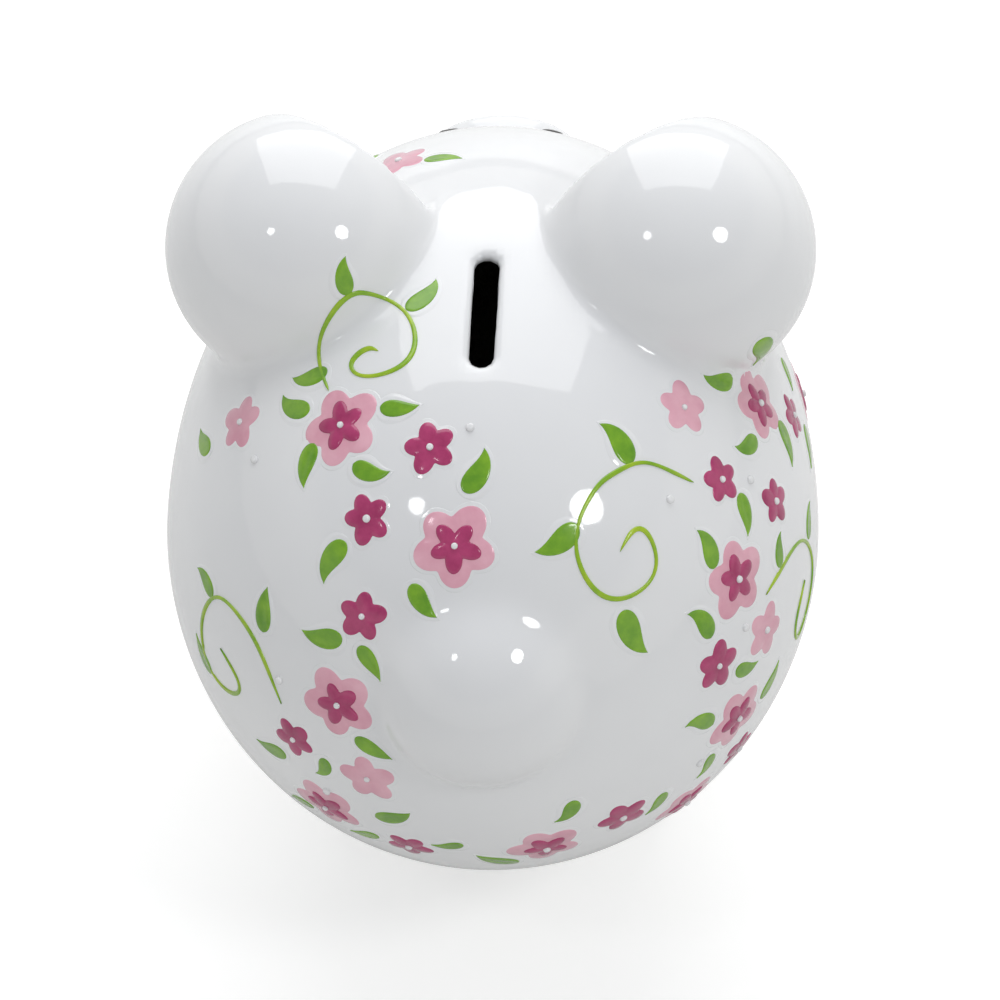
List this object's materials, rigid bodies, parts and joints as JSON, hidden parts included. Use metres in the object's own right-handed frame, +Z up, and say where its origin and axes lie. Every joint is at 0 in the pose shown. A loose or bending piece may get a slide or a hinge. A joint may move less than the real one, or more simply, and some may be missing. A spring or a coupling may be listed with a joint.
{
  "type": "piggy bank",
  "caption": "Egg-shaped ceramic piggy bank standing on short feet, with round cupped ears, a coin slot along its back and a rubber stopper in its belly.",
  "frame": {"origin": "on the ground, under the middle of the bank's length and width", "axes": "+Z up, snout towards -Y, the pig's left side towards +X"},
  "size_m": [0.18, 0.228, 0.213],
  "materials": {
    "glazed_ceramic": "clear gloss glaze over white earthenware",
    "stopper_rubber": "soft matte",
    "leaf_enamel": "raised glossy enamel",
    "rose_enamel": "raised glossy enamel",
    "blush_enamel": "raised glossy enamel",
    "pearl_enamel": "raised glossy enamel",
    "face_enamel": "raised glossy enamel"
  },
  "bodies": {
    "bank": {"body_shell": "glazed_ceramic", "left_ear": "glazed_ceramic", "right_ear": "glazed_ceramic", "tail": "glazed_ceramic", "snout": "glazed_ceramic", "front_left_foot": "glazed_ceramic", "front_right_foot": "glazed_ceramic", "rear_left_foot": "glazed_ceramic", "rear_right_foot": "glazed_ceramic"},
    "stopper": {"belly_stopper": "stopper_rubber"}
  },
  "joints": [
    {"name": "stopper_pull", "type": "slide", "parent": "bank", "child": "stopper", "axis": [0, 0, -1], "range_m": [0, 0.012]}
  ]
}
